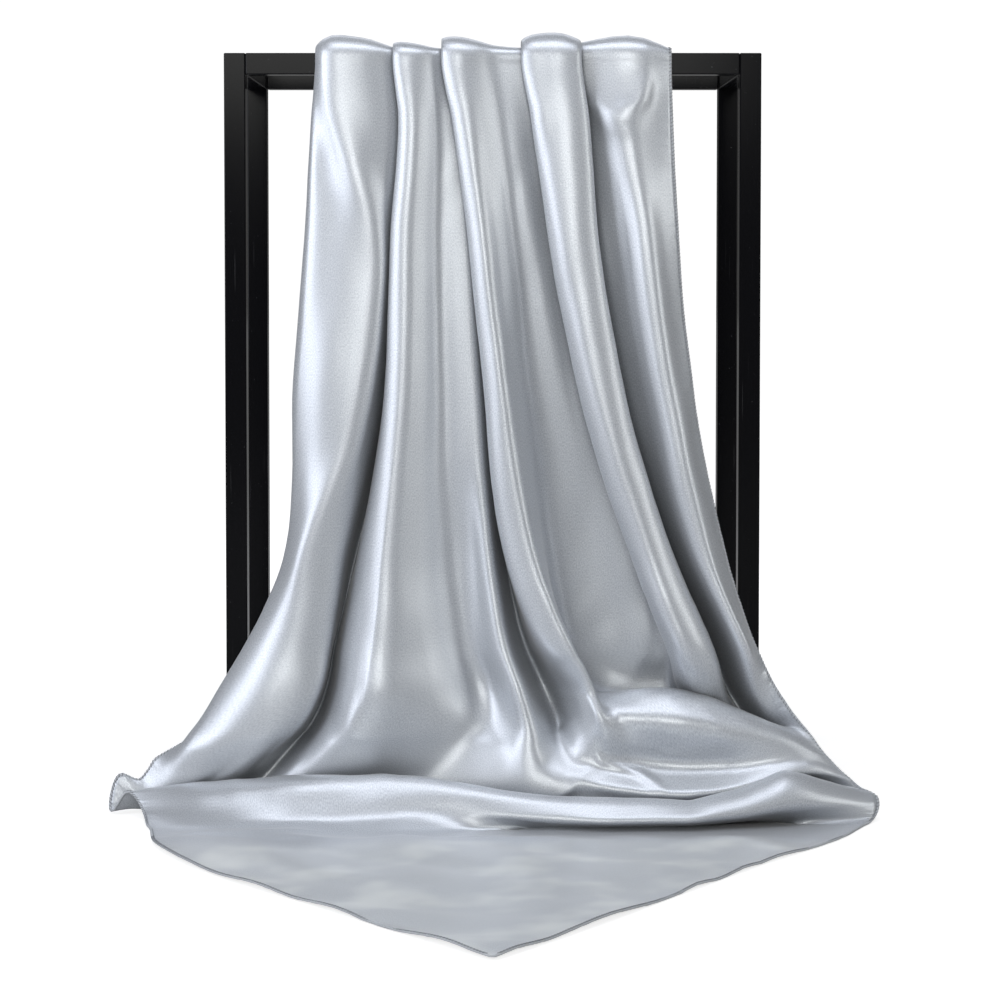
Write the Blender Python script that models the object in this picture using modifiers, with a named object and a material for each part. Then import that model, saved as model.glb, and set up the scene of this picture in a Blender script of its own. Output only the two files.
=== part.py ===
"""Satin square scarf draped over the front top bar of a black open box stand.

The scarf hangs over the bar with one corner behind it, falls in five pleated
panels, gathers in a pillow and a long roll on the floor, and ends in a flat
corner that points to the front. X runs right, Y away from the front, Z up.
The origin is on the floor, below the middle of the stand's front rails.
"""

import bmesh
import bpy
import numpy as np

MM = 0.001

# Stand, in millimetres
STAND_WIDTH = 500.0
STAND_DEPTH = 250.0
STAND_HEIGHT = 700.0
BAR = 20.0
BAR_ROUND = 1.0
PIECE_GAP = 0.3

# Cloth, in millimetres
WALL = 1.0
SEAM_GAP = 0.3
LEAST_GAP_TO_BAR = 0.6
FRONT_FACE = -BAR / 2
STEPS_PER_SPAN = 2
FOLD_ROUNDNESS = 0.45
LEAST_TURN = 0.05
SHORTEST_CHORD = 0.5
SHOULDER_FORWARD = 0.8
SHOULDER_HEIGHT = 0.5
LEAST_SHOULDER = 1.5

# Heights at which the fall's folds are given, how far forward of the bar the
# cloth lies there on average, and how far its folds swing about that
FALL_HEIGHTS = (690, 645, 540, 380, 230, 150, 80, 10)
FALL_FORWARD = (9, 13, 19, 27, 35, 43, 55, 78)
FALL_SWING = (8, 11, 15, 20, 25, 28, 28, 14)

# Fold lines from the left hem to the right hem. crown is the height over the
# bar; top and foot are the phase, from -1 back to 1 forward; the last eight
# are X at FALL_HEIGHTS
FOLDS = (
    # name, crown, top, foot, x at each height
    ("left_hem", 1.5, -0.9, -0.9, -144, -145, -146, -151, -162, -192, -249, -340),
    ("left_fold", 5, -0.2, -0.2, -164, -167, -173, -185, -194, -231, -271, -316),
    ("panel_1_crest", 13, 0.8, 0.7, -157, -150, -124, -128, -178, -189, -209, -262),
    ("panel_1_lip", 3, -0.6, 0.6, -84, -80, -86, -103, -137, -151, -177, -240),
    ("valley_1", 3, -0.9, -1.0, -72, -68, -76, -92, -128, -147, -166, -209),
    ("flank_2", 5, -0.2, 0.1, -86, -80, -87, -99, -125, -139, -154, -190),
    ("edge_2", 8, 0.5, 0.8, -92, -87, -93, -99, -115, -124, -138, -170),
    ("crest_2", 9, 1.1, 1.0, -79, -74, -79, -84, -101, -109, -122, -152),
    ("panel_2", 4, 0.0, -0.4, -55, -50, -50, -46, -38, -24, -4, 0),
    ("low_ridge", 3, -0.7, 0.9, -36, -29, -20, -12, -1, 12, 35, 50),
    ("valley_2", 4, -0.9, -0.8, -26, -19, -9, 2, 12, 30, 61, 72),
    ("edge_3", 13, 0.5, 0.9, -47, -39, -24, -6, 15, 50, 89, 128),
    ("crest_3", 15, 1.2, 1.0, -33, -25, -10, 10, 40, 74, 94, 138),
    ("panel_3", 7, -0.2, -0.7, 0, 8, 20, 36, 52, 68, 90, 150),
    ("panel_3_lip", 4, -0.7, -0.8, 35, 44, 60, 92, 132, 143, 141, 172),
    ("valley_3", 4, -0.9, -0.6, 47, 55, 72, 103, 146, 165, 172, 188),
    ("edge_4_left", 11, 0.6, 0.4, 27, 35, 50, 81, 129, 160, 179, 205),
    ("crest_4", 18, 1.4, 1.0, 45, 52, 66, 98, 146, 174, 196, 216),
    ("edge_4_right", 9, 0.9, 0.5, 82, 88, 96, 122, 168, 202, 244, 254),
    ("valley_4", 4, -0.9, -1.0, 60, 68, 82, 110, 158, 200, 244, 270),
    ("panel_5", 14, 0.6, 0.7, 140, 128, 141, 162, 200, 234, 263, 288),
    ("right_hem", 3, -0.7, -0.2, 166, 167, 172, 187, 218, 243, 279, 330),
)
NAMES = [row[0] for row in FOLDS]
CROWNS = np.array([row[1] for row in FOLDS], float)
PHASES = np.array([row[2:4] for row in FOLDS], float)
FOLD_X = np.array([row[4:] for row in FOLDS], float)

# Between the last two heights the left folds run on evenly, and the right
# ones turn into the pillow. Each fold has X, forward and Z at the tuck behind
# the pillow, its upper edge, its crown, its hollow and the ridge below it
PILLOW_SHARES = (0.0, 0.2, 0.4, 0.6, 0.8)
PILLOW = (
    # name, tuck, edge, crown, hollow, ridge
    ("low_ridge", (35, 76, 80), (39, 79, 64), (46, 83, 48), (56, 87, 37), (62, 91, 20)),
    ("valley_2", (61, 33, 80), (62, 46, 71), (66, 62, 59), (72, 77, 46), (79, 89, 35)),
    ("edge_3", (84, 66, 112), (88, 71, 100), (92, 76, 84), (92, 76, 48), (92, 90, 33)),
    ("crest_3", (93, 69, 113), (97, 74, 101), (100, 80, 87), (107, 76, 45), (105, 92, 31)),
    ("panel_3", (87, 34, 106), (94, 46, 103), (113, 74, 89), (128, 75, 42), (130, 95, 27)),
    ("valley_3", (158, 24, 94), (157, 50, 119), (162, 81, 84), (172, 73, 40), (174, 98, 24)),
    ("edge_4_right", (236, 24, 66), (240, 50, 91), (248, 77, 73), (241, 77, 48), (236, 93, 32)),
    ("panel_5", (262, 38, 74), (273, 50, 78), (283, 69, 65), (288, 75, 52), (290, 82, 43)),
    ("right_hem", (278, 52, 90), (291, 56, 74), (303, 62, 58), (315, 66, 45), (326, 72, 35)),
)
# The left hem's wave at those rows, and the fold beside it
LEFT_WAVE = (
    # hem_x, hem_forward, hem_z, fold_x, fold_forward, fold_z
    (-249, 31, 80, -276, 48, 80),
    (-289, 40, 60, -291, 53, 60),
    (-312, 46, 48, -303, 56, 40),
    (-327, 50, 30, -313, 58, 20),
    (-341, 52, 36, -316, 60, 9),
)

# The roll on the floor: at each X, forward and Z of the crease behind it,
# of its ridge, of its front and of its turn back to the flat corner
ROLL_FOLDS = (0, 2, 6, 8, 8.3, 10.5, 15, 17, 19, 20, 21)
ROLL = (
    # x, crease, crease_z, ridge, ridge_z, front, front_z, under, under_z
    (-332, 62, 2, 68, 22, 86, 8, 112, 1),
    (-272, 58, 5, 68, 30, 110, 12, 136, 1),
    (-176, 62, 8, 76, 38, 118, 16, 144, 1),
    (-84, 68, 8, 86, 36, 124, 15, 142, 1),
    (7, 80, 8, 96, 24, 130, 11, 126, 4),
    (96, 90, 11, 106, 20, 140, 9, 114, 4),
    (177, 92, 13, 106, 20, 138, 10, 112, 4),
    (226, 86, 22, 100, 33, 128, 13, 106, 4),
    (262, 78, 32, 92, 45, 118, 17, 104, 4),
    (294, 70, 32, 86, 38, 110, 18, 104, 4),
    (350, 74, 26, 80, 20, 86, 15, 96, 3),
)
# X of the left and right hem at the crease, ridge, front, turn and base
ROLL_ENDS = ((-350, 337), (-335, 350), (-318, 351), (-311, 345), (-308, 339))

# The flat corner: X and forward of its left and right hem at each section
CORNER = (
    # left_x, left_forward, right_x, right_forward
    (-296, 184, 310, 157),
    (-230, 295, 236, 246),
    (-144, 390, 151, 358),
    (-51, 496, 55, 485),
    (-3, 549, 3, 549),
)
BASE_BACK = 12.0
BASE_AHEAD = 8.0
ENDS_FADE = 4

# How far the pillow's folds soften: rounds, and the share of each
PILLOW_ROUNDS = 1
PILLOW_SOFTENING = 0.4

# The tail behind the bar: height, share of its full width, distance from the bar
TAIL = (
    # z, width, behind
    (464, 0.02, 3.0),
    (530, 0.32, 4.0),
    (600, 0.66, 5.0),
    (670, 0.95, 5.0),
)


def forward_to_y(forward):
    return FRONT_FACE - forward


def smooth_tangents(points, chords):
    """The direction of the curve at each point, kept long so that folds turn roundly."""
    slopes = np.diff(points, axis=0) / chords
    before, after = chords[:-1], chords[1:]
    tangents = np.empty_like(points)
    tangents[0], tangents[-1] = slopes[0], slopes[-1]
    tangents[1:-1] = (slopes[:-1] * after + slopes[1:] * before) / (before + after)
    lengths = np.linalg.norm(tangents, axis=-1, keepdims=True)
    return tangents * np.maximum(lengths, LEAST_TURN) ** (FOLD_ROUNDNESS - 1)


def smooth_through(points, per_span):
    """Runs a smooth curve through the points along axis 0, with even spacing in each span."""
    chords = np.linalg.norm(np.diff(points, axis=0), axis=-1, keepdims=True)
    chords = np.maximum(chords, SHORTEST_CHORD)
    tangents = smooth_tangents(points, chords)
    found = []
    for span in range(len(points) - 1):
        start, end = points[span], points[span + 1]
        leave, arrive = tangents[span] * chords[span], tangents[span + 1] * chords[span]
        for step in range(per_span):
            t = step / per_span
            found.append(
                (2 * t**3 - 3 * t**2 + 1) * start
                + (t**3 - 2 * t**2 + t) * leave
                + (3 * t**2 - 2 * t**3) * end
                + (t**3 - t**2) * arrive
            )
    found.append(points[-1])
    return np.array(found)


def smooth_at(places, knots, values):
    """The values at these places on a smooth curve through the values at the knots."""
    knots = np.array(knots, float)
    gaps = np.diff(knots)[:, None]
    slopes = np.diff(values, axis=0) / gaps
    tangents = np.empty_like(values)
    tangents[0], tangents[-1] = slopes[0], slopes[-1]
    tangents[1:-1] = (slopes[:-1] * gaps[1:] + slopes[1:] * gaps[:-1]) / (gaps[1:] + gaps[:-1])
    found = []
    for place in places:
        span = min(int(np.searchsorted(knots, place, side="right")) - 1, len(gaps) - 1)
        gap = gaps[span, 0]
        t = (place - knots[span]) / gap
        found.append(
            (2 * t**3 - 3 * t**2 + 1) * values[span]
            + (t**3 - 2 * t**2 + t) * gap * tangents[span]
            + (3 * t**2 - 2 * t**3) * values[span + 1]
            + (t**3 - t**2) * gap * tangents[span + 1]
        )
    return np.array(found)


def fall_section(index):
    """The points of every fold at one of FALL_HEIGHTS."""
    share = index / (len(FALL_HEIGHTS) - 1)
    phase = PHASES[:, 0] + (PHASES[:, 1] - PHASES[:, 0]) * share
    forward = FALL_FORWARD[index] + FALL_SWING[index] * phase
    forward = np.maximum(forward, LEAST_GAP_TO_BAR)
    heights = np.full(len(FOLDS), float(FALL_HEIGHTS[index]))
    return np.column_stack([FOLD_X[:, index], forward_to_y(forward), heights])


def bar_sections():
    """The sections over the bar: its rear corner, its top and its front corner."""
    top = fall_section(0)
    outward = (FRONT_FACE - top[:, 1]) * SHOULDER_FORWARD
    shoulder = STAND_HEIGHT + np.maximum(CROWNS * SHOULDER_HEIGHT, LEAST_SHOULDER)
    middle = np.zeros(len(FOLDS))
    rear = np.column_stack([top[:, 0], BAR / 2 + outward, shoulder])
    crown = np.column_stack([top[:, 0], middle, STAND_HEIGHT + CROWNS])
    front = np.column_stack([top[:, 0], FRONT_FACE - outward, shoulder])
    return [rear, crown, front]


def tail_sections():
    """The sections of the tail, from its corner up, whose pleats open as it narrows."""
    top = fall_section(0)
    middle = (top[0, 0] + top[-1, 0]) / 2
    half_width = (top[-1, 0] - top[0, 0]) / 2
    even = np.linspace(-1, 1, len(FOLDS)) * half_width
    sections = []
    for height, width, behind in TAIL:
        folded = top[:, 0] - middle
        across = middle + (folded * width + even * (1 - width)) * width
        outward = (FRONT_FACE - top[:, 1]) * width + behind * (1 - width)
        y = BAR / 2 + np.maximum(outward, LEAST_GAP_TO_BAR)
        sections.append(np.column_stack([across, y, np.full(len(FOLDS), float(height))]))
    return sections


def pillow_sections():
    """The sections from the last open height down to the crease behind the roll."""
    upper = fall_section(len(FALL_HEIGHTS) - 2)
    foot = roll_sections()[0]
    knots = [NAMES.index(row[0]) for row in PILLOW]
    right = np.arange(knots[0], len(FOLDS))
    sections = []
    for index, (share, wave) in enumerate(zip(PILLOW_SHARES, LEFT_WAVE)):
        points = upper + (foot - upper) * share
        values = np.array([row[1 + index] for row in PILLOW], float)
        values[:, 1] = forward_to_y(values[:, 1])
        points[right] = smooth_at(right, knots, values)
        points[0] = (wave[0], forward_to_y(wave[1]), wave[2])
        points[1] = (wave[3], forward_to_y(wave[4]), wave[5])
        sections.append(points)
    return sections


def roll_sections():
    """The crease, ridge, front, turn and base of the roll, at every fold."""
    table = np.array(ROLL, float)
    across = np.interp(np.arange(len(FOLDS)), ROLL_FOLDS, table[:, 0])
    share = (across - across[0]) / (across[-1] - across[0])
    sections = []
    for column in (1, 3, 5, 7):
        forward = np.interp(across, table[:, 0], table[:, column])
        height = np.interp(across, table[:, 0], table[:, column + 1])
        sections.append(np.column_stack([across, forward_to_y(forward), height]))
    base = sections[3].copy()
    turned = np.clip((sections[3][:, 1] - sections[2][:, 1]) / BAR, 0, 1)
    base[:, 1] += BASE_BACK * turned - BASE_AHEAD * (1 - turned)
    base[:, 2] = 0
    sections.append(base)
    for section, (left, right) in zip(sections, ROLL_ENDS):
        section[:, 0] += (left - across[0]) * (1 - share) ** ENDS_FADE
        section[:, 0] += (right - across[-1]) * share**ENDS_FADE
    return sections


def corner_sections():
    """The sections of the flat corner, down to its point."""
    even = (FOLD_X[:, -1] - FOLD_X[0, -1]) / (FOLD_X[-1, -1] - FOLD_X[0, -1])
    sections = []
    for left_x, left_forward, right_x, right_forward in CORNER:
        across = left_x + (right_x - left_x) * even
        forward = left_forward + (right_forward - left_forward) * even
        sections.append(
            np.column_stack([across, forward_to_y(forward), np.zeros(len(FOLDS))])
        )
    return sections


def relax(grid, rounds, share):
    """Softens the grid: each inner point moves by a share towards the middle of its neighbours."""
    for _ in range(rounds):
        middle = grid[:-2, 1:-1] + grid[2:, 1:-1] + grid[1:-1, :-2] + grid[1:-1, 2:]
        grid[1:-1, 1:-1] += (middle / 4 - grid[1:-1, 1:-1]) * share[1:-1, None, None]


def scarf_grid():
    """The whole sheet as a grid in millimetres, and its rows at the two seams."""
    fall = [fall_section(index) for index in range(len(FALL_HEIGHTS) - 2)]
    hanging = tail_sections() + bar_sections() + fall
    pillow = pillow_sections()
    sections = hanging + pillow + roll_sections() + corner_sections()
    across = smooth_through(np.array(sections).swapaxes(0, 1), STEPS_PER_SPAN)
    grid = smooth_through(across.swapaxes(0, 1), STEPS_PER_SPAN)
    crease = len(hanging) + len(pillow)
    roll_ridge = (crease + 1) * STEPS_PER_SPAN
    share = np.zeros(len(grid))
    share[len(hanging) * STEPS_PER_SPAN : roll_ridge] = PILLOW_SOFTENING
    relax(grid, PILLOW_ROUNDS, share)
    grid[:, :, 2] = np.maximum(grid[:, :, 2], 0)
    tail_top = (len(TAIL) - 1) * STEPS_PER_SPAN
    return grid, tail_top, roll_ridge


def part_seam(grid, end):
    """Draws the last or first section back by half of the seam's gap."""
    inner = 1 if end == 0 else -2
    step = grid[inner] - grid[end]
    grid[end] += step / np.linalg.norm(step, axis=-1, keepdims=True) * SEAM_GAP / 2


def cloth_piece(name, grid, material, collection):
    """A wall of cloth on the grid, thickened outward."""
    rows, columns = grid.shape[:2]
    mesh = bpy.data.meshes.new(name)
    shape = bmesh.new()
    points = [shape.verts.new(point * MM) for point in grid.reshape(-1, 3)]
    for row in range(rows - 1):
        for column in range(columns - 1):
            corner = row * columns + column
            shape.faces.new(
                (
                    points[corner],
                    points[corner + columns],
                    points[corner + columns + 1],
                    points[corner + 1],
                )
            )
    shape.to_mesh(mesh)
    shape.free()
    mesh.shade_smooth()
    mesh.materials.append(material)
    piece = bpy.data.objects.new(name, mesh)
    wall = piece.modifiers.new("wall", "SOLIDIFY")
    wall.thickness = WALL * MM
    wall.offset = 1
    collection.objects.link(piece)
    return piece


def stand_bar(name, size, centre, material, collection):
    """One bar of the stand, with rounded edges."""
    mesh = bpy.data.meshes.new(name)
    shape = bmesh.new()
    bmesh.ops.create_cube(shape, size=1)
    bmesh.ops.scale(shape, vec=[side * MM for side in size], verts=shape.verts)
    shape.to_mesh(mesh)
    shape.free()
    mesh.materials.append(material)
    bar = bpy.data.objects.new(name, mesh)
    bar.location = [value * MM for value in centre]
    rounding = bar.modifiers.new("rounding", "BEVEL")
    rounding.width = BAR_ROUND * MM
    rounding.segments = 2
    collection.objects.link(bar)
    return bar


def make_stand(material, collection):
    """Four posts, four rails across and four rails from front to back."""
    side = STAND_WIDTH / 2 - BAR / 2
    rear = STAND_DEPTH - BAR
    top = STAND_HEIGHT - BAR / 2
    across = STAND_WIDTH - 2 * BAR - 2 * PIECE_GAP
    along = STAND_DEPTH - 2 * BAR - 2 * PIECE_GAP
    for depth_name, y in (("front", 0), ("rear", rear)):
        for side_name, x in (("left", -side), ("right", side)):
            stand_bar(
                f"stand_post_{depth_name}_{side_name}",
                (BAR, BAR, STAND_HEIGHT),
                (x, y, STAND_HEIGHT / 2),
                material,
                collection,
            )
        for level_name, z in (("top", top), ("bottom", BAR / 2)):
            stand_bar(
                f"stand_rail_{depth_name}_{level_name}",
                (across, BAR, BAR),
                (0, y, z),
                material,
                collection,
            )
    for side_name, x in (("left", -side), ("right", side)):
        for level_name, z in (("top", top), ("bottom", BAR / 2)):
            stand_bar(
                f"stand_rail_{side_name}_{level_name}",
                (BAR, along, BAR),
                (x, rear / 2, z),
                material,
                collection,
            )


def make_scarf(material, collection):
    """The tail behind the bar, the fall in front of it and the spread on the floor."""
    grid, tail_top, roll_ridge = scarf_grid()
    tail = grid[: tail_top + 1].copy()
    fall = grid[tail_top : roll_ridge + 1].copy()
    spread = grid[roll_ridge:].copy()
    part_seam(tail, -1)
    part_seam(fall, 0)
    part_seam(fall, -1)
    part_seam(spread, 0)
    cloth_piece("scarf_back_tail", tail, material, collection)
    cloth_piece("scarf_front_fall", fall, material, collection)
    cloth_piece("scarf_floor_spread", spread, material, collection)


def plain_material(name, colour, roughness, metallic):
    material = bpy.data.materials.new(name)
    material.use_nodes = True
    shader = material.node_tree.nodes["Principled BSDF"]
    shader.inputs["Base Color"].default_value = (*colour, 1)
    shader.inputs["Roughness"].default_value = roughness
    shader.inputs["Metallic"].default_value = metallic
    material.diffuse_color = (*colour, 1)
    return material


def main():
    for item in list(bpy.data.objects):
        bpy.data.objects.remove(item)
    collection = bpy.data.collections.new("silk_square_scarf")
    bpy.context.scene.collection.children.link(collection)
    satin = plain_material("silver_satin", (0.55, 0.58, 0.62), 0.35, 0.0)
    lacquer = plain_material("black_lacquer", (0.01, 0.01, 0.012), 0.15, 0.0)
    make_stand(lacquer, collection)
    make_scarf(satin, collection)


main()
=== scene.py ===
"""Silver satin square scarf on a black lacquered box stand, lit as on a white studio table."""

import math

import bpy
import numpy as np
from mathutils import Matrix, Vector, noise


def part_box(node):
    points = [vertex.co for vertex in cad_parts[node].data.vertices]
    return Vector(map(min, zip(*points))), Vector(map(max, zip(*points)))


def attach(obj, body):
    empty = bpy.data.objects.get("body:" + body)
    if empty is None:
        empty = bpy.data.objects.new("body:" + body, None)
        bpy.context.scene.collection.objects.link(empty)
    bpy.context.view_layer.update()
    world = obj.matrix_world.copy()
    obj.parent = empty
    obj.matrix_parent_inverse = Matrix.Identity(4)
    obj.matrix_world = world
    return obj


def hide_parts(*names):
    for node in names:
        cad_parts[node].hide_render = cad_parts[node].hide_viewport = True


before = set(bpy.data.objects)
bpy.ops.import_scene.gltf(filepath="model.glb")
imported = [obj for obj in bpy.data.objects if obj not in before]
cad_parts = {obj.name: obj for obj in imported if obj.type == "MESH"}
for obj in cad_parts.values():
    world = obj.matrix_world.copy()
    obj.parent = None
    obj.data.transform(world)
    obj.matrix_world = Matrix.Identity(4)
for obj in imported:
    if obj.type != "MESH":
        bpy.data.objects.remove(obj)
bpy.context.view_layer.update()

MM = 0.001
FRONT_FACE_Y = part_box("stand_rail_front_top")[0][1]
CLOTH = ("scarf_back_tail", "scarf_front_fall", "scarf_floor_spread")

# Camera, from the photograph's horizon and the stand's size in it
CAMERA_HEIGHT = 0.523
CAMERA_DISTANCE = 2.426
CAMERA_PITCH = 2.5
CAMERA_LENS = 93.6
CAMERA_SENSOR = 36
CAMERA_SHIFT = (0.0074, -0.143)

# Studio light: the background and the floor as the camera sees them, and what
# they shed. The floor brightens from its near to its far distance, in metres
WORLD_SEEN = 1.05
WORLD_LIGHT = 0.1
FLOOR_SEEN_NEAR = 0.76
FLOOR_SEEN_FAR = 1.02
FLOOR_NEAR = 0.45
FLOOR_FAR = 1.5
FLOOR_LIGHT = 0.16
FLOOR_SIZE = 30
FLOOR_DROP = 0.0005

# Soft boxes: where each stands, what it faces, its width and height in metres, its watts
COOL = (0.9, 0.93, 1.0)
WARM = (1.0, 1.0, 0.96)
HALF_HEIGHT = (0, 0, 0.35)
LIGHTS = (
    # name, place, target, size, power, colour
    ("left_softbox", (-1.8, -1.2, 1.1), HALF_HEIGHT, (1.0, 1.6), 21, COOL),
    ("right_softbox", (1.9, -0.9, 1.0), HALF_HEIGHT, (0.5, 1.4), 7, WARM),
    ("front_softbox", (-0.2, -3.0, 1.3), HALF_HEIGHT, (1.4, 1.0), 21, WARM),
    ("top_softbox", (0, -0.7, 2.3), (0, -0.2, 0), (2.0, 1.0), 21, COOL),
    ("back_softbox", (0, 2.0, 2.0), (0, 0, 0.7), (2.4, 0.8), 10, COOL),
)

# Cloth, in millimetres; the sheet is drawn on the middle of its wall
CLOTH_WALL = 0.5
CLOTH_LIFT = 0.3
STEPS_PER_SPAN = 2
FINER_ACROSS = 4
FINER_DOWN = 5
BAR = 20.0
STAND_HEIGHT = 700.0
FRONT_FACE = -BAR / 2
LEAST_GAP_TO_BAR = 0.6
FOLD_ROUNDNESS = 0.45
LEAST_TURN = 0.05
SHORTEST_CHORD = 0.5
LEAST_LENGTH = 1e-6
SHOULDER_FORWARD = 0.8
SHOULDER_HEIGHT = 0.5
LEAST_SHOULDER = 1.5
BAR_SECTIONS = 3

# Heights at which the fall's folds are given, how far forward of the bar the
# cloth lies there on average, and how far its folds swing about that
FALL_HEIGHTS = (690, 645, 540, 380, 230, 150, 80, 10)
FALL_FORWARD = (9, 13, 19, 27, 35, 43, 55, 78)
FALL_SWING = (8, 11, 15, 20, 25, 28, 28, 14)
# How many of these heights lie above the pillow's rows
OPEN_SECTIONS = len(FALL_HEIGHTS) - 2

# Fold lines from the left hem to the right hem. crown is the height over the
# bar; top and foot are the phase, from -1 back to 1 forward; the last eight
# are X at FALL_HEIGHTS
FOLDS = (
    # name, crown, top, foot, x at each height
    ("left_hem", 1.5, -0.9, -0.9, -144, -145, -146, -151, -162, -192, -249, -340),
    ("left_fold", 5, -0.2, -0.2, -164, -167, -173, -185, -194, -231, -271, -316),
    ("panel_1_crest", 13, 0.8, 0.7, -157, -150, -124, -128, -178, -189, -209, -262),
    ("panel_1_lip", 3, -0.6, 0.6, -84, -80, -86, -103, -137, -151, -177, -240),
    ("valley_1", 3, -0.9, -1.0, -72, -68, -76, -92, -128, -147, -166, -209),
    ("flank_2", 5, -0.2, 0.1, -86, -80, -87, -99, -125, -139, -154, -190),
    ("edge_2", 8, 0.5, 0.8, -92, -87, -93, -99, -115, -124, -138, -170),
    ("crest_2", 9, 1.1, 1.0, -79, -74, -79, -84, -101, -109, -122, -152),
    ("panel_2", 4, 0.0, -0.4, -55, -50, -50, -46, -38, -24, -4, 0),
    ("low_ridge", 3, -0.7, 0.9, -36, -29, -20, -12, -1, 12, 35, 50),
    ("valley_2", 4, -0.9, -0.8, -26, -19, -9, 2, 12, 30, 61, 72),
    ("edge_3", 13, 0.5, 0.9, -47, -39, -24, -6, 15, 50, 89, 128),
    ("crest_3", 15, 1.2, 1.0, -33, -25, -10, 10, 40, 74, 94, 138),
    ("panel_3", 7, -0.2, -0.7, 0, 8, 20, 36, 52, 68, 90, 150),
    ("panel_3_lip", 4, -0.7, -0.8, 35, 44, 60, 92, 132, 143, 141, 172),
    ("valley_3", 4, -0.9, -0.6, 47, 55, 72, 103, 146, 165, 172, 188),
    ("edge_4_left", 11, 0.6, 0.4, 27, 35, 50, 81, 129, 160, 179, 205),
    ("crest_4", 18, 1.4, 1.0, 45, 52, 66, 98, 146, 174, 196, 216),
    ("edge_4_right", 9, 0.9, 0.5, 82, 88, 96, 122, 168, 202, 244, 254),
    ("valley_4", 4, -0.9, -1.0, 60, 68, 82, 110, 158, 200, 244, 270),
    ("panel_5", 14, 0.6, 0.7, 140, 128, 141, 162, 200, 234, 263, 288),
    ("right_hem", 3, -0.7, -0.2, 166, 167, 172, 187, 218, 243, 279, 330),
)
NAMES = [row[0] for row in FOLDS]
CROWNS = np.array([row[1] for row in FOLDS], float)
PHASES = np.array([row[2:4] for row in FOLDS], float)
FOLD_X = np.array([row[4:] for row in FOLDS], float)

# Between the last two heights the left folds run on evenly, and the right
# ones turn into the pillow. Each fold has X, forward and Z at the tuck behind
# the pillow, its upper edge, its crown, its hollow and the ridge below it
PILLOW_SHARES = (0.0, 0.2, 0.4, 0.6, 0.8)
PILLOW = (
    # name, tuck, edge, crown, hollow, ridge
    ("low_ridge", (35, 76, 80), (39, 79, 64), (46, 83, 48), (56, 87, 37), (62, 91, 20)),
    ("valley_2", (61, 33, 80), (62, 46, 71), (66, 62, 59), (72, 77, 46), (79, 89, 35)),
    ("edge_3", (84, 66, 112), (88, 71, 100), (92, 76, 84), (92, 76, 48), (92, 90, 33)),
    ("crest_3", (93, 69, 113), (97, 74, 101), (100, 80, 87), (107, 76, 45), (105, 92, 31)),
    ("panel_3", (87, 34, 106), (94, 46, 103), (113, 74, 89), (128, 75, 42), (130, 95, 27)),
    ("valley_3", (158, 24, 94), (157, 50, 119), (162, 81, 84), (172, 73, 40), (174, 98, 24)),
    ("edge_4_right", (236, 24, 66), (240, 50, 91), (248, 77, 73), (241, 77, 48), (236, 93, 32)),
    ("panel_5", (262, 38, 74), (273, 50, 78), (283, 69, 65), (288, 75, 52), (290, 82, 43)),
    ("right_hem", (278, 52, 90), (291, 56, 74), (303, 62, 58), (315, 66, 45), (326, 72, 35)),
)
# The left hem's wave at those rows, and the fold beside it
LEFT_WAVE = (
    # hem_x, hem_forward, hem_z, fold_x, fold_forward, fold_z
    (-249, 31, 80, -276, 48, 80),
    (-289, 40, 60, -291, 53, 60),
    (-312, 46, 48, -303, 56, 40),
    (-327, 50, 30, -313, 58, 20),
    (-341, 52, 36, -316, 60, 9),
)

# The roll on the floor: at each X, forward and Z of the crease behind it,
# of its ridge, of its front and of its turn back to the flat corner
ROLL_FOLDS = (0, 2, 6, 8, 8.3, 10.5, 15, 17, 19, 20, 21)
ROLL = (
    # x, crease, crease_z, ridge, ridge_z, front, front_z, under, under_z
    (-332, 62, 2, 68, 22, 86, 8, 112, 1),
    (-272, 58, 5, 68, 30, 110, 12, 136, 1),
    (-176, 62, 8, 76, 38, 118, 16, 144, 1),
    (-84, 68, 8, 86, 36, 124, 15, 142, 1),
    (7, 80, 8, 96, 24, 130, 11, 126, 4),
    (96, 90, 11, 106, 20, 140, 9, 114, 4),
    (177, 92, 13, 106, 20, 138, 10, 112, 4),
    (226, 86, 22, 100, 33, 128, 13, 106, 4),
    (262, 78, 32, 92, 45, 118, 17, 104, 4),
    (294, 70, 32, 86, 38, 110, 18, 104, 4),
    (350, 74, 26, 80, 20, 86, 15, 96, 3),
)
# X of the left and right hem at the crease, ridge, front, turn and base
ROLL_ENDS = ((-350, 337), (-335, 350), (-318, 351), (-311, 345), (-308, 339))

# The flat corner: X and forward of its left and right hem at each section
CORNER = (
    # left_x, left_forward, right_x, right_forward
    (-296, 184, 310, 157),
    (-230, 295, 236, 246),
    (-144, 390, 151, 358),
    (-51, 496, 55, 485),
    (-3, 549, 3, 549),
)
BASE_BACK = 12.0
BASE_AHEAD = 8.0
ENDS_FADE = 4

# How far the pillow's folds soften: rounds, and the share of each
PILLOW_ROUNDS = 1
PILLOW_SOFTENING = 0.4
CREASE_ROUNDS = 10

# How far the turn over the bar's front corner softens: rounds, and the share of each
SHOULDER_ROUNDS = 24
SHOULDER_SOFTENING = 0.5

# Soft waves: along the fall, slanting across it, and on the flat corner. Each
# has its size across and down the cut, and the seed of its noise
STREAKS = (26, 330, 1.5)
STREAK_HEIGHT = 1.1
CREASES = (13, 60, 7.5)
CREASE_HEIGHT = 0.3
CREASE_SLANT = 0.35
RIPPLES = (62, 70, 4.2)
RIPPLE_HEIGHT = 5.0
RIPPLE_BASE = 0.5
# Below the first height the waves turn to ripples; this near the bar they calm
FLOOR_REACH = 30.0
BAR_REACH = 60.0
CALM_AT_BAR = 0.8

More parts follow.
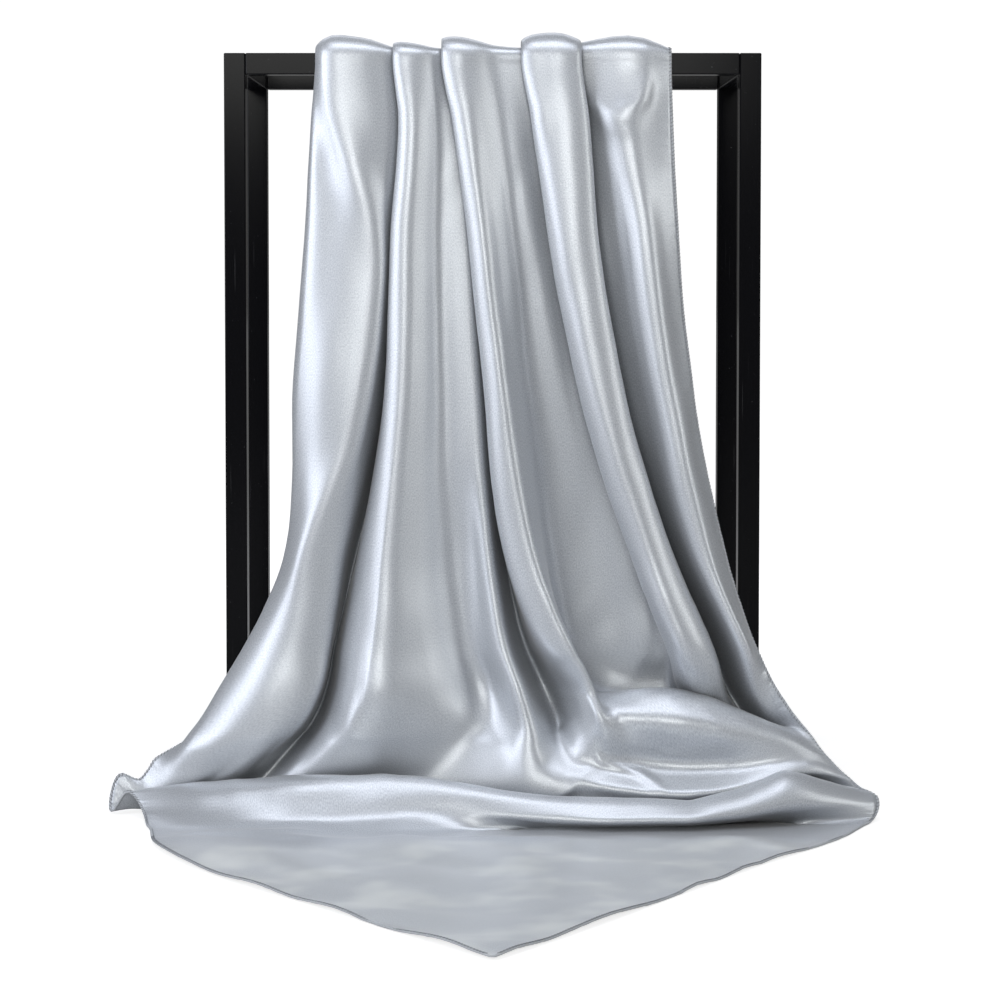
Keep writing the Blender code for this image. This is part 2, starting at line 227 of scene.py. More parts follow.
# Soft folds: how they fade at their ends and sides, the roll's height, and
# how far forward the ripples start
SWAG_FADE = 0.5
SWAG_TAPER = 0.3
ROLL_TOP = 60.0
FLAT_FROM = 160.0

# Soft folds of the panels: the folds between which each lies, its width and
# height, with hollows below zero, and X and Z along its middle
SWAGS = (
    # from, to, width, height, middle
    ("left_fold", "panel_1_lip", 14, 6, ((-170, 710), (-113, 553), (-106, 500), (-112, 424),
                                         (-134, 325), (-200, 180))),
    ("left_fold", "panel_1_crest", 14, -4, ((-150, 690), (-142, 540), (-146, 400))),
    ("valley_4", "right_hem", 8, 5, ((84, 674), (113, 632), (137, 655), (146, 690))),
    ("valley_4", "right_hem", 11, 4, ((124, 646), (145, 499), (159, 415), (179, 312), (216, 190))),
    ("valley_4", "right_hem", 12, -3, ((106, 660), (120, 500), (135, 400), (170, 250))),
    ("crest_3", "valley_3", 14, -3, ((-20, 660), (4, 480), (36, 320))),
    ("crest_3", "valley_3", 10, 3, ((10, 690), (30, 560), (52, 440), (90, 250))),
    ("crest_2", "low_ridge", 17, -7, ((-30, 330), (-17, 160), (-6, 113), (8, 72), (22, 20))),
    ("edge_2", "low_ridge", 30, 3, ((-72, 230), (-64, 110), (-54, 60), (-44, 0))),
    ("edge_3", "panel_5", 11, 4, ((74, 104), (134, 90), (188, 86), (250, 68))),
    ("edge_3", "panel_5", 12, -5, ((84, 56), (171, 50), (240, 50))),
    ("edge_3", "valley_3", 4, 3, ((66, 72), (98, 52), (134, 41), (166, 22))),
)
# Long soft folds of the roll: X and forward along their middle
ROLL_SWAGS = (
    # width, height, middle
    (12, 6, ((-300, 84), (-172, 98), (-104, 94), (-50, 100), (6, 112), (57, 120), (260, 118))),
    (9, -4, ((-260, 124), (-150, 128), (-68, 124), (60, 134))),
    (12, 5, ((-300, 152), (-230, 150), (-130, 146))),
)

# Satin: its shader, its threads as how many to a metre of the cut, and the
# tones between which they run
SATIN = {
    "Metallic": 0.5,
    "Roughness": 0.38,
    "Specular IOR Level": 0.6,
    "Sheen Weight": 0.28,
    "Sheen Roughness": 0.4,
}
THREADS = (1100, 600, 1)
THREAD_DETAIL = 3
THREAD_BUMP = {"Strength": 0.35, "Distance": 0.0003}
SATIN_TONES = ((0.3, (0.47, 0.5, 0.55, 1)), (0.7, (0.73, 0.755, 0.79, 1)))

# Painted light on the flat corner: its colour is lightened as painted sheen all
# over and more in soft blotches of painted highlight: how much all over and in its
# blotches, the painted sheen colour, the blotches' noise, and how softly the
# painted part starts
PAINTED_SHEEN_FLAT = 0.3
PAINTED_HIGHLIGHT_BLOTCHES = 0.9
PAINTED_SHEEN_COLOUR = (0.95, 0.97, 0.95, 1)
BLOTCHES = {"Scale": 13, "Detail": 2}
BLOTCH_ENDS = (0.42, 0.72)
FLAT_EDGE = 0.04

# Painted shade: the satin's colour is darkened deep in the recesses between the
# pleats, where shade falls: how near a facing wall darkens, the share left, and
# the openness between which the painted shade fades
RECESS_REACH = 0.05
RECESS_SHADE = 0.4
RECESS_ENDS = (0.15, 0.8)
RECESS_SAMPLES = 6
# The painted shade's colour, mixed into the satin in the recesses
PAINTED_SHADE_BLACK = (0, 0, 0, 1)

# Lacquer: its shader, its marks as how many to a metre along X, Y and Z, and
# the tones between which they run
LACQUER = {"Roughness": 0.16, "Specular IOR Level": 0.12}
SPECKS = (420, 420, 420)
SPECK_DETAIL = 3
SCRATCHES = (900, 900, 9)
SCRATCH_DETAIL = 1
LACQUER_TONES = ((0.72, (0.003, 0.003, 0.004, 1)), (0.82, (0.1, 0.1, 0.105, 1)))

# Floor: its shader, apart from what it sheds
FLOOR = {
    "Base Color": (0.5, 0.5, 0.5, 1),
    "Roughness": 0.7,
    "Specular IOR Level": 0.0,
    "Emission Color": (1, 1, 1, 1),
}

# Rolled hem and its stitches, in millimetres; HEM_INNER is the column of the
# grid that shows the direction inward from the hem
HEM_RADIUS = 1.1
HEM_SPACING = 5.0
HEM_SIDES = 6
HEM_INNER = 2
HEM_SWELL = 0.35
HEM_SWELL_STEP = 1.9
HEM_SWELL_SEED = 3.0
STITCH_SPACING = 3.4
STITCH_ALONG = 0.9
STITCH_ACROSS = 1.5
STITCH_INSET = 1.3
STITCH_LIFT = 1.1
STITCH_RADII = (0.175, 0.35, 0.175)
STITCH_SIDES = 5
ROD_ABOVE = (0.3, 0.1, 0.95)
ROLLED_HEM = {"Base Color": (0.5, 0.52, 0.55, 1), "Roughness": 0.4}
HEM_THREAD = {"Base Color": (0.22, 0.23, 0.25, 1), "Roughness": 0.55}

# Puckers along the hem, as how many to a metre along it and in from it, and how
# far in they reach in metres
PUCKERS = (150, 26, 1)
PUCKER_DETAIL = 1
PUCKER_REACH = 0.02
PUCKER_FULL = 0.002
PUCKER_BUMP = {"Strength": 0.35, "Distance": 0.003}

# The tail behind the bar: height, share of its full width, distance from the bar
TAIL = (
    # z, width, behind
    (464, 0.02, 3.0),
    (530, 0.32, 4.0),
    (600, 0.66, 5.0),
    (670, 0.95, 5.0),
)


def forward_to_y(forward):
    """Y in millimetres of a distance forward of the bar's front face."""
    return FRONT_FACE - forward


def unit(vectors):
    """The vectors, each at length one."""
    return vectors / np.maximum(np.linalg.norm(vectors, axis=-1, keepdims=True), LEAST_LENGTH)


def steady_tangents(points, gaps):
    """The direction of the curve at each point, from the slopes and gaps beside it."""
    slopes = np.diff(points, axis=0) / gaps
    before, after = gaps[:-1], gaps[1:]
    tangents = np.empty_like(points)
    tangents[0], tangents[-1] = slopes[0], slopes[-1]
    tangents[1:-1] = (slopes[:-1] * after + slopes[1:] * before) / (before + after)
    return tangents


def round_tangents(points, chords):
    """The direction of the curve at each point, kept long so that folds turn roundly."""
    tangents = steady_tangents(points, chords)
    lengths = np.linalg.norm(tangents, axis=-1, keepdims=True)
    return tangents * np.maximum(lengths, LEAST_TURN) ** (FOLD_ROUNDNESS - 1)


def on_span(t, start, leave, end, arrive):
    """The point at share t of a span, from its ends and the curve's directions there."""
    return (
        (2 * t**3 - 3 * t**2 + 1) * start
        + (t**3 - 2 * t**2 + t) * leave
        + (3 * t**2 - 2 * t**3) * end
        + (t**3 - t**2) * arrive
    )


def smooth_through(points, per_span):
    """Runs a smooth curve through the points along axis 0, with even spacing in each span."""
    chords = np.linalg.norm(np.diff(points, axis=0), axis=-1, keepdims=True)
    chords = np.maximum(chords, SHORTEST_CHORD)
    tangents = round_tangents(points, chords)
    found = []
    for span, chord in enumerate(chords):
        leave, arrive = tangents[span] * chord, tangents[span + 1] * chord
        for step in range(per_span):
            t = step / per_span
            found.append(on_span(t, points[span], leave, points[span + 1], arrive))
    found.append(points[-1])
    return np.array(found)


def smooth_at(places, knots, values):
    """The values at these places on a smooth curve through the values at the knots."""
    gaps = np.diff(np.array(knots, float))[:, None]
    tangents = steady_tangents(values, gaps)
    found = []
    for place in places:
        span = min(int(np.searchsorted(knots, place, side="right")) - 1, len(gaps) - 1)
        gap = gaps[span, 0]
        t = (place - knots[span]) / gap
        leave, arrive = gap * tangents[span], gap * tangents[span + 1]
        found.append(on_span(t, values[span], leave, values[span + 1], arrive))
    return np.array(found)


def fall_section(index):
    """The points of every fold at one of FALL_HEIGHTS."""
    share = index / (len(FALL_HEIGHTS) - 1)
    phase = PHASES[:, 0] + (PHASES[:, 1] - PHASES[:, 0]) * share
    forward = FALL_FORWARD[index] + FALL_SWING[index] * phase
    forward = np.maximum(forward, LEAST_GAP_TO_BAR)
    heights = np.full(len(FOLDS), float(FALL_HEIGHTS[index]))
    return np.column_stack([FOLD_X[:, index], forward_to_y(forward), heights])


def bar_sections():
    """The sections over the bar: its rear corner, its top and its front corner."""
    top = fall_section(0)
    outward = (FRONT_FACE - top[:, 1]) * SHOULDER_FORWARD
    shoulder = STAND_HEIGHT + np.maximum(CROWNS * SHOULDER_HEIGHT, LEAST_SHOULDER)
    middle = np.zeros(len(FOLDS))
    rear = np.column_stack([top[:, 0], BAR / 2 + outward, shoulder])
    crown = np.column_stack([top[:, 0], middle, STAND_HEIGHT + CROWNS])
    front = np.column_stack([top[:, 0], FRONT_FACE - outward, shoulder])
    return [rear, crown, front]


def tail_sections():
    """The sections of the tail, from its corner up, whose pleats open as it narrows."""
    top = fall_section(0)
    middle = (top[0, 0] + top[-1, 0]) / 2
    half_width = (top[-1, 0] - top[0, 0]) / 2
    even = np.linspace(-1, 1, len(FOLDS)) * half_width
    sections = []
    for height, width, behind in TAIL:
        folded = top[:, 0] - middle
        across = middle + (folded * width + even * (1 - width)) * width
        outward = (FRONT_FACE - top[:, 1]) * width + behind * (1 - width)
        y = BAR / 2 + np.maximum(outward, LEAST_GAP_TO_BAR)
        sections.append(np.column_stack([across, y, np.full(len(FOLDS), float(height))]))
    return sections


def roll_sections():
    """The crease, ridge, front, turn and base of the roll, at every fold."""
    table = np.array(ROLL, float)
    across = np.interp(np.arange(len(FOLDS)), ROLL_FOLDS, table[:, 0])
    share = (across - across[0]) / (across[-1] - across[0])
    sections = []
    for column in (1, 3, 5, 7):
        forward = np.interp(across, table[:, 0], table[:, column])
        height = np.interp(across, table[:, 0], table[:, column + 1])
        sections.append(np.column_stack([across, forward_to_y(forward), height]))
    base = sections[3].copy()
    turned = np.clip((sections[3][:, 1] - sections[2][:, 1]) / BAR, 0, 1)
    base[:, 1] += BASE_BACK * turned - BASE_AHEAD * (1 - turned)
    base[:, 2] = 0
    sections.append(base)
    for section, (left, right) in zip(sections, ROLL_ENDS):
        section[:, 0] += (left - across[0]) * (1 - share) ** ENDS_FADE
        section[:, 0] += (right - across[-1]) * share**ENDS_FADE
    return sections


def pillow_sections():
    """The sections from the last open height down to the crease behind the roll."""
    upper = fall_section(OPEN_SECTIONS)
    foot = roll_sections()[0]
    knots = [NAMES.index(row[0]) for row in PILLOW]
    right = np.arange(knots[0], len(FOLDS))
    sections = []
    for index, (share, wave) in enumerate(zip(PILLOW_SHARES, LEFT_WAVE)):
        points = upper + (foot - upper) * share
        values = np.array([row[1 + index] for row in PILLOW], float)
        values[:, 1] = forward_to_y(values[:, 1])
        points[right] = smooth_at(right, knots, values)
        points[0] = (wave[0], forward_to_y(wave[1]), wave[2])
        points[1] = (wave[3], forward_to_y(wave[4]), wave[5])
        sections.append(points)
    return sections


def corner_sections():
    """The sections of the flat corner, down to its point."""
    even = (FOLD_X[:, -1] - FOLD_X[0, -1]) / (FOLD_X[-1, -1] - FOLD_X[0, -1])
    sections = []
    for left_x, left_forward, right_x, right_forward in CORNER:
        across = left_x + (right_x - left_x) * even
        forward = left_forward + (right_forward - left_forward) * even
        sections.append(
            np.column_stack([across, forward_to_y(forward), np.zeros(len(FOLDS))])
        )
    return sections


def relax(grid, rounds, share):
    """Softens the grid: each inner point moves by its share to its neighbours' middle."""
    for _ in range(rounds):
        middle = grid[:-2, 1:-1] + grid[2:, 1:-1] + grid[1:-1, :-2] + grid[1:-1, 2:]
        grid[1:-1, 1:-1] += (middle / 4 - grid[1:-1, 1:-1]) * share[1:-1, 1:-1, None]


def soften_pillow(grid):
    """Softens the creases that the coarse rows leave on the pillow's upper side."""
    step = STEPS_PER_SPAN * FINER_DOWN
    first = section_count() - len(CORNER) - len(ROLL_ENDS) - len(PILLOW_SHARES)
    rows = np.arange(len(grid)) / step - first
    fold = np.linspace(0, len(FOLDS) - 1, grid.shape[1])
    inside_down = np.clip(np.minimum(rows, len(PILLOW_SHARES) - 1 - rows), 0, 1)
    inside_across = np.clip(fold - NAMES.index("edge_3"), 0, 1)
    relax(grid, CREASE_ROUNDS, np.outer(inside_down, inside_across) * PILLOW_SOFTENING)


def main_grid():
    """The sheet's main folds as a grid in millimetres, from the tail's corner to the front one."""
    fall = [fall_section(index) for index in range(OPEN_SECTIONS)]
    hanging = tail_sections() + bar_sections() + fall
    pillow = pillow_sections()
    sections = hanging + pillow + roll_sections() + corner_sections()
    across = smooth_through(np.array(sections).swapaxes(0, 1), STEPS_PER_SPAN)
    grid = smooth_through(across.swapaxes(0, 1), STEPS_PER_SPAN)
    crease = len(hanging) + len(pillow)
    share = np.zeros(grid.shape[:2])
    share[len(hanging) * STEPS_PER_SPAN : (crease + 1) * STEPS_PER_SPAN] = PILLOW_SOFTENING
    relax(grid, PILLOW_ROUNDS, share)
    grid[:, :, 2] = np.maximum(grid[:, :, 2], 0)
    return grid


def section_count():
    """How many sections the sheet has, from the tail to the flat corner's point."""
    hanging = len(TAIL) + BAR_SECTIONS + OPEN_SECTIONS
    return hanging + len(PILLOW_SHARES) + len(ROLL_ENDS) + len(CORNER)


def across_and_down(grid):
    """Each point's distance from the left hem along its row, and along the cut from the tail."""
    widths = np.linalg.norm(np.diff(grid, axis=1), axis=-1)
    across = np.concatenate([np.zeros((len(grid), 1)), np.cumsum(widths, axis=1)], axis=1)
    lengths = np.linalg.norm(np.diff(grid, axis=0), axis=-1).mean(axis=1)
    down = np.concatenate([[0], np.cumsum(lengths)])
    return across, np.broadcast_to(down[:, None], across.shape)


def outward_normals(grid):
    """The direction in which the cloth's upper side faces, at each point."""
    return unit(np.cross(np.gradient(grid, axis=0), np.gradient(grid, axis=1)))


def waves(across, down, size_across, size_down, seed):
    """Smooth random waves, from -1 to 1, of this size across and down the cut."""
    places = zip((across / size_across).ravel(), (down / size_down).ravel())
    found = [noise.noise(Vector((x, y, seed))) for x, y in places]
    return np.array(found).reshape(across.shape)


def along_line(x, second, middle, width):
    """A soft ridge one high along a line of several stretches, which fades at its ends."""
    middle = np.array(middle, float)
    runs = np.diff(middle, axis=0)
    lengths = np.linalg.norm(runs, axis=-1)
    starts = np.concatenate([[0], np.cumsum(lengths)])
    nearest = np.full(x.shape, np.inf)
    place = np.zeros(x.shape)
    for start, run, length, before in zip(middle, runs, lengths, starts):
        along = ((x - start[0]) * run[0] + (second - start[1]) * run[1]) / length**2
        along = np.clip(along, 0, 1)
        away = np.hypot(x - start[0] - along * run[0], second - start[1] - along * run[1])
        place = np.where(away < nearest, before + along * length, place)
        nearest = np.minimum(nearest, away)
    ends = np.minimum(place, starts[-1] - place) / starts[-1] / SWAG_TAPER
    ends = np.clip(ends, 0, 1)
    return np.exp(-((nearest / width) ** 2)) * ends * ends * (3 - 2 * ends)


def swags(grid):
    """How far the soft folds of the panels and of the roll lift the cloth at each point."""
    fold = np.linspace(0, len(FOLDS) - 1, grid.shape[1])
    x, z = grid[:, :, 0], grid[:, :, 2]
    forward = FRONT_FACE - grid[:, :, 1]
    in_front = forward > 0
    lift = np.zeros(grid.shape[:2])
    for first, last, width, height, middle in SWAGS:
        inside = np.minimum(fold - NAMES.index(first), NAMES.index(last) - fold)
        inside = np.clip(inside / SWAG_FADE, 0, 1)
        lift += height * along_line(x, z, middle, width) * inside * in_front
    low = np.clip((ROLL_TOP - z) / BAR, 0, 1)
    for width, height, middle in ROLL_SWAGS:
        lift += height * along_line(x, forward, middle, width) * low
    return lift


def round_shoulders(grid):
    """Rounds the cloth where it turns over the bar's front corner, and keeps it off the bar."""
    step = STEPS_PER_SPAN * FINER_DOWN
    corner = (len(TAIL) + BAR_SECTIONS - 1) * step
    rows = np.arange(corner - step, corner + step)
    share = (1 - np.abs(rows - corner) / step)[:, None, None] * SHOULDER_SOFTENING
    for _ in range(SHOULDER_ROUNDS):
        middle = (grid[rows - 1] + grid[rows + 1]) / 2
        grid[rows] += (middle - grid[rows]) * share
    clear = BAR / 2 + LEAST_GAP_TO_BAR
    over = np.abs(grid[rows][:, :, 1]) < clear
    lowest = np.where(over, STAND_HEIGHT + LEAST_GAP_TO_BAR, 0)
    grid[rows, :, 2] = np.maximum(grid[rows, :, 2], lowest)


def cloth_grid():
    """The whole sheet, with its soft waves, as a fine grid of points in millimetres."""
    across = smooth_through(main_grid().swapaxes(0, 1), FINER_ACROSS)
    grid = smooth_through(across.swapaxes(0, 1), FINER_DOWN)
    round_shoulders(grid)
    soften_pillow(grid)
    across, down = across_and_down(grid)
    on_floor = np.clip((FLOOR_REACH - grid[:, :, 2]) / BAR, 0, 1)
    at_bar = np.clip((grid[:, :, 2] - STAND_HEIGHT + BAR_REACH) / BAR, 0, 1)
    streaks = waves(across, down, *STREAKS) * STREAK_HEIGHT
    creases = waves(across + CREASE_SLANT * down, down, *CREASES) * CREASE_HEIGHT
    ripples = (RIPPLE_BASE + waves(across, down, *RIPPLES)) * RIPPLE_HEIGHT
    height = (streaks + creases) * (1 - on_floor) * (1 - CALM_AT_BAR * at_bar) + swags(grid)
    grid += outward_normals(grid) * height[:, :, None]
    flat = np.clip((grid[:, :, 1] + FLAT_FROM) / -BAR, 0, 1)
    grid[:, :, 2] += np.maximum(ripples, 0) * on_floor * flat
    grid[:, :, 2] = np.maximum(grid[:, :, 2], 0)
    return grid


def hem_distance(grid):
    """For each point, the distance along the nearest hem and the distance from it, in metres."""
    across, down = across_and_down(grid)
    left = np.concatenate([[0], np.cumsum(np.linalg.norm(np.diff(grid[:, 0], axis=0), axis=-1))])
    nearest = np.minimum(across, across[:, -1:] - across)
    return np.stack([np.broadcast_to(left[:, None], across.shape), nearest], axis=-1) * MM


def grid_mesh(name, grid):
    """A mesh of quads on the grid, with maps that run along its cut and along its hem in metres."""
    rows, columns = grid.shape[:2]
    mesh = bpy.data.meshes.new(name)
    corners = np.arange(rows * columns).reshape(rows, columns)
    faces = np.stack(
        [corners[:-1, :-1], corners[1:, :-1], corners[1:, 1:], corners[:-1, 1:]], axis=-1
    ).reshape(-1, 4)
    mesh.from_pydata((grid.reshape(-1, 3) * MM).tolist(), [], faces.tolist())
    across, down = across_and_down(grid)
    places = np.stack([across - across[:, -1:] / 2, down], axis=-1) * MM
    for layer_name, values in (("cut", places), ("hem", hem_distance(grid))):
        layer = mesh.uv_layers.new(name=layer_name)
        layer.data.foreach_set("uv", values.reshape(-1, 2)[faces.ravel()].ravel())
    mesh.shade_smooth()
    return mesh


def surface(name, settings):
    """A new material whose shader has these settings; returns it, its nodes and its shader."""
    material = bpy.data.materials.new(name)
    material.use_nodes = True
    shader = material.node_tree.nodes["Principled BSDF"]
    for socket, value in settings.items():
        shader.inputs[socket].default_value = value
    return material, material.node_tree, shader


def add_node(tree, kind, inputs=(), **properties):
    """A new node with these properties; an input is a fixed value or another node's output."""
    node = tree.nodes.new("ShaderNode" + kind)
    for name, value in properties.items():
        setattr(node, name, value)
    for name, value in dict(inputs).items():
        if isinstance(value, bpy.types.NodeSocket):
            tree.links.new(value, node.inputs[name])
        else:
            node.inputs[name].default_value = value
    return node


def fade(tree, value, ends, results=(0, 1), course="SMOOTHSTEP"):
    """Turns a value between these ends into one between these results."""
    inputs = {"Value": value, "From Min": ends[0], "From Max": ends[1]}
    inputs |= {"To Min": results[0], "To Max": results[1]}
    return add_node(tree, "MapRange", inputs, interpolation_type=course).outputs["Result"]


def combine(tree, first, second, operation):
    """Two values joined by this operation."""
    inputs = {0: first, 1: second}
    return add_node(tree, "Math", inputs, operation=operation).outputs["Value"]


def mix_colours(tree, share, first, second):
    """A colour between two, by the share of the second."""
    inputs = {"Factor": share, "A": first, "B": second}
    return add_node(tree, "Mix", inputs, data_type="RGBA").outputs["Result"]


def stretched_noise(tree, place, stretch, detail):
    """Smooth noise whose bumps come this often to a metre along each axis."""
    size = add_node(tree, "Mapping", {"Scale": stretch, "Vector": place})
    inputs = {"Scale": 1, "Detail": detail, "Vector": size.outputs["Vector"]}
    return add_node(tree, "TexNoise", inputs).outputs["Fac"]


def toned(tree, value, tones):
    """A colour that runs with the value between two tones, each a position and a colour."""
    ramp = add_node(tree, "ValToRGB", {"Fac": value})
    for element, (position, colour) in zip(ramp.color_ramp.elements, tones):
        element.position = position
        element.color = colour
    return ramp.outputs["Color"]


def satin_material(flat_from):
    """Charmeuse satin: a soft sheen over pale grey, a fine grain of threads and a puckered hem,
    with painted sheen on the flat corner and painted shade in the recesses.
    """
    material, tree, shader = surface("silver_satin", SATIN)
    cut = add_node(tree, "UVMap", uv_map="cut").outputs["UV"]
    grain = stretched_noise(tree, cut, THREADS, THREAD_DETAIL)
    # Painted light: the flat corner's colour lightened as painted sheen, with painted highlight
    # blotches
    tone = painted_flat_sheen(tree, cut, toned(tree, grain, SATIN_TONES), flat_from)
    # Painted shade: the base colour darkened deep in the recesses between the pleats
    tree.links.new(painted_recess_shade(tree, tone), shader.inputs["Base Color"])
    threads = add_node(tree, "Bump", {"Height": grain, **THREAD_BUMP}).outputs["Normal"]
    relief = {"Height": pucker_height(tree), "Normal": threads, **PUCKER_BUMP}
    tree.links.new(add_node(tree, "Bump", relief).outputs["Normal"], shader.inputs["Normal"])
    return material


def painted_flat_sheen(tree, cut, tone, flat_from):
    """The tone with painted light: paler where the satin lies flat, as painted sheen, with soft
    blotches of painted highlight there.
    """
    blotches = add_node(tree, "TexNoise", {"Vector": cut, **BLOTCHES}).outputs["Fac"]
    painted_sheen = fade(tree, blotches, BLOTCH_ENDS, (PAINTED_SHEEN_FLAT, PAINTED_HIGHLIGHT_BLOTCHES))
    down = add_node(tree, "SeparateXYZ", {"Vector": cut}).outputs["Y"]
    flat = fade(tree, down, (flat_from, flat_from + FLAT_EDGE))
    return mix_colours(tree, combine(tree, painted_sheen, flat, "MULTIPLY"), tone, PAINTED_SHEEN_COLOUR)


def painted_recess_shade(tree, colour):
    """The colour with painted shade: darker deep between the pleats, where shade falls."""
    facing = add_node(tree, "AmbientOcclusion", {"Distance": RECESS_REACH}, samples=RECESS_SAMPLES)
    shade = fade(tree, facing.outputs["AO"], RECESS_ENDS, (RECESS_SHADE, 1), "LINEAR")
    return mix_colours(tree, shade, PAINTED_SHADE_BLACK, colour)


def pucker_height(tree):
    """Short puckers that run in from the sewn hem and die away within PUCKER_REACH."""
    hem = add_node(tree, "UVMap", uv_map="hem").outputs["UV"]
    folds = stretched_noise(tree, hem, PUCKERS, PUCKER_DETAIL)
    inward = add_node(tree, "SeparateXYZ", {"Vector": hem}).outputs["Y"]
    near = fade(tree, inward, (PUCKER_REACH, PUCKER_FULL))
    return combine(tree, folds, near, "MULTIPLY")


def lacquer_material():
    """Glossy black lacquer with a few dust specks and fine scratches."""
    material, tree, shader = surface("black_lacquer", LACQUER)
    place = add_node(tree, "TexCoord").outputs["Object"]
    specks = stretched_noise(tree, place, SPECKS, SPECK_DETAIL)
    scratches = stretched_noise(tree, place, SCRATCHES, SCRATCH_DETAIL)
    marks = combine(tree, specks, scratches, "MAXIMUM")
    tree.links.new(toned(tree, marks, LACQUER_TONES), shader.inputs["Base Color"])
    return material


def hem_sides(grid):
    """The left and the right hem: its column, its points and the direction inward from it."""
    sides = []
    for edge, inner in ((0, HEM_INNER), (-1, -1 - HEM_INNER)):
        hem = grid[:, edge]
        sides.append((edge, hem, unit(grid[:, inner] - hem)))
    return sides


def even_rows(path, spacing):
    """Positions in rows, evenly spaced along a path."""
    lengths = np.linalg.norm(np.diff(path, axis=0), axis=-1)
    along = np.concatenate([[0], np.cumsum(lengths)])
    wanted = np.arange(spacing, along[-1] - spacing, spacing)
    return np.interp(wanted, along, np.arange(len(path)))


def at_rows(values, rows):
    """Values at positions between rows."""
    lower = np.floor(rows).astype(int)
    part = (rows - lower)[:, None]
    return values[lower] * (1 - part) + values[np.minimum(lower + 1, len(values) - 1)] * part


def rod(points, radii, sides):
    """Vertices and faces of a round rod through the points."""
    ahead = unit(np.gradient(points, axis=0))
    aside = unit(np.cross(ahead, ROD_ABOVE))
    above = np.cross(aside, ahead)
    turns = np.arange(sides) * 2 * math.pi / sides
    ring = aside[:, None] * np.cos(turns)[:, None] + above[:, None] * np.sin(turns)[:, None]
    verts = (points[:, None] + ring * radii[:, None, None]).reshape(-1, 3)
    corners = np.arange(len(points) * sides).reshape(-1, sides)
    following = np.roll(corners, -1, axis=1)
    walls = np.stack([corners[:-1], following[:-1], following[1:], corners[1:]], axis=-1)
    faces = walls.reshape(-1, 4).tolist()
    faces.append(corners[0].tolist())
    faces.append(corners[-1][::-1].tolist())
    return verts, faces


def add_mesh(name, pieces, material):
    """One object from rods, riding on the part."""
    verts, faces = [], []
    for points, some in pieces:
        faces += [[corner + len(verts) for corner in face] for face in some]
        verts += (points * MM).tolist()
    mesh = bpy.data.meshes.new(name)
    mesh.from_pydata(verts, [], faces)
    mesh.shade_smooth()
    mesh.materials.append(material)
    item = bpy.data.objects.new(name, mesh)
    bpy.context.scene.collection.objects.link(item)
    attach(item, "root")


def rolled_hem(sides):
    """One roll down the left hem, round the front corner and up the right hem."""
    paths, swells = [], []
    for edge, hem, inward in sides:
        rows = np.append(even_rows(hem, HEM_SPACING), len(hem) - 1)
        path = at_rows(hem, rows) + at_rows(inward, rows) * HEM_RADIUS
        path[:, 2] = np.maximum(path[:, 2], HEM_RADIUS + CLOTH_LIFT)
        places = [Vector((row * HEM_SWELL_STEP, edge, HEM_SWELL_SEED)) for row in rows]
        paths.append(path)
        swells.append(np.array([noise.noise(place) for place in places]))
    path = np.concatenate([paths[0], paths[1][::-1]])
    swell = np.concatenate([swells[0], swells[1][::-1]])
    return rod(path, HEM_RADIUS * (1 + HEM_SWELL * swell), HEM_SIDES)


def hem_stitches(sides, normals):
    """The stitches that hold the roll, each a short slanting rod."""
    stitches = []
    for edge, hem, inward in sides:
        rows = even_rows(hem, STITCH_SPACING)
        inward = at_rows(inward, rows)
        upper = at_rows(normals[:, edge], rows)
        place = at_rows(hem, rows) + inward * STITCH_INSET + upper * STITCH_LIFT
        ahead = unit(at_rows(np.gradient(hem, axis=0), rows))
        slant = ahead * STITCH_ALONG + inward * STITCH_ACROSS
        for middle, reach in zip(place, slant):
            points = np.array([middle - reach, middle, middle + reach])
            stitches.append(rod(points, np.array(STITCH_RADII), STITCH_SIDES))
    return stitches


def flat_start(grid):
    """How far down the cut the flat corner starts, in metres."""
    down = across_and_down(grid)[1][:, 0]
    rows = (len(grid) - 1) / (section_count() - 1) * (section_count() - len(CORNER))
    return down[int(rows)] * MM


def make_scarf():
    """The scarf as one sheet in place of its three walls, with its hem and stitches."""
    grid = cloth_grid()
    grid[:, :, 2] += CLOTH_LIFT
    mesh = grid_mesh("scarf", grid)
    mesh.materials.append(satin_material(flat_start(grid)))
    scarf = bpy.data.objects.new("scarf", mesh)
    bpy.context.scene.collection.objects.link(scarf)
    wall = scarf.modifiers.new("wall", "SOLIDIFY")
    wall.thickness = CLOTH_WALL * MM
    wall.offset = 1
    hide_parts(*CLOTH)
    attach(scarf, "root")
    sides = hem_sides(grid)
    stitches = hem_stitches(sides, outward_normals(grid))
    add_mesh("scarf_hem", [rolled_hem(sides)], surface("rolled_hem", ROLLED_HEM)[0])
    add_mesh("scarf_stitches", stitches, surface("hem_thread", HEM_THREAD)[0])


def dress_stand(material):
    """Gives every bar of the stand this material."""
    for name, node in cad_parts.items():
        if name.startswith("stand_"):
            node.data.materials.clear()
            node.data.materials.append(material)


def seen_or_shed(tree, seen, shed):
    """A strength that differs between what is seen directly and what lights the scarf."""
    path = add_node(tree, "LightPath")
    return fade(tree, path.outputs["Is Camera Ray"], (0, 1), (shed, seen), "LINEAR")


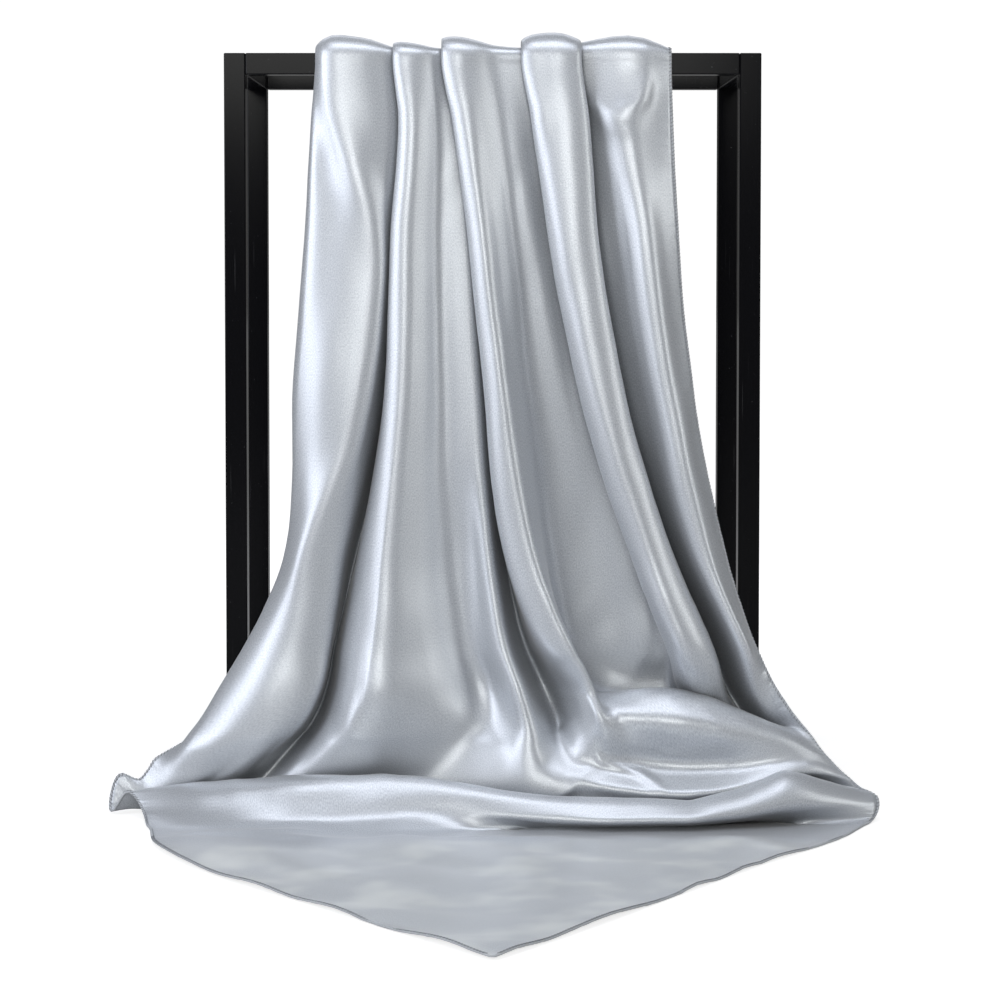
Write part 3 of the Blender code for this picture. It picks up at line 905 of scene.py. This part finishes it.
def make_floor():
    """A white table that brightens with distance, dim enough behind the camera for the satin."""
    bpy.ops.mesh.primitive_plane_add(size=FLOOR_SIZE, location=(0, 0, -FLOOR_DROP))
    floor = bpy.context.object
    floor.name = "floor"
    material, tree, shader = surface("floor", FLOOR)
    place = add_node(tree, "TexCoord").outputs["Object"]
    distance = add_node(tree, "VectorMath", {0: place}, operation="LENGTH").outputs["Value"]
    results = (FLOOR_SEEN_NEAR, FLOOR_SEEN_FAR)
    seen = fade(tree, distance, (FLOOR_NEAR, FLOOR_FAR), results, "LINEAR")
    tree.links.new(seen_or_shed(tree, seen, FLOOR_LIGHT), shader.inputs["Emission Strength"])
    floor.data.materials.append(material)


def make_background():
    """A white background that sheds little light."""
    world = bpy.data.worlds.new("studio")
    world.use_nodes = True
    tree = world.node_tree
    background = tree.nodes["Background"]
    background.inputs["Color"].default_value = (1, 1, 1, 1)
    tree.links.new(seen_or_shed(tree, WORLD_SEEN, WORLD_LIGHT), background.inputs["Strength"])
    bpy.context.scene.world = world


def make_lights():
    """The soft boxes of LIGHTS, each turned to what it faces."""
    for name, place, target, size, power, colour in LIGHTS:
        light = bpy.data.lights.new(name, "AREA")
        light.color = colour
        light.shape = "RECTANGLE"
        light.size, light.size_y = size
        light.energy = power
        lamp = bpy.data.objects.new(name, light)
        lamp.location = place
        aim = Vector(target) - Vector(place)
        lamp.rotation_euler = aim.to_track_quat("-Z", "Y").to_euler()
        bpy.context.scene.collection.objects.link(lamp)


def make_camera():
    """The camera in front of the stand, turned a little down."""
    data = bpy.data.cameras.new("camera")
    camera = bpy.data.objects.new("camera", data)
    camera.location = (0, FRONT_FACE_Y - CAMERA_DISTANCE, CAMERA_HEIGHT)
    camera.rotation_euler = (math.radians(90 - CAMERA_PITCH), 0, 0)
    data.lens = CAMERA_LENS
    data.sensor_width = CAMERA_SENSOR
    data.shift_x, data.shift_y = CAMERA_SHIFT
    bpy.context.scene.collection.objects.link(camera)
    bpy.context.scene.camera = camera


make_floor()
make_background()
make_lights()
make_camera()
dress_stand(lacquer_material())
make_scarf()
bpy.context.scene.view_settings.view_transform = "Standard"
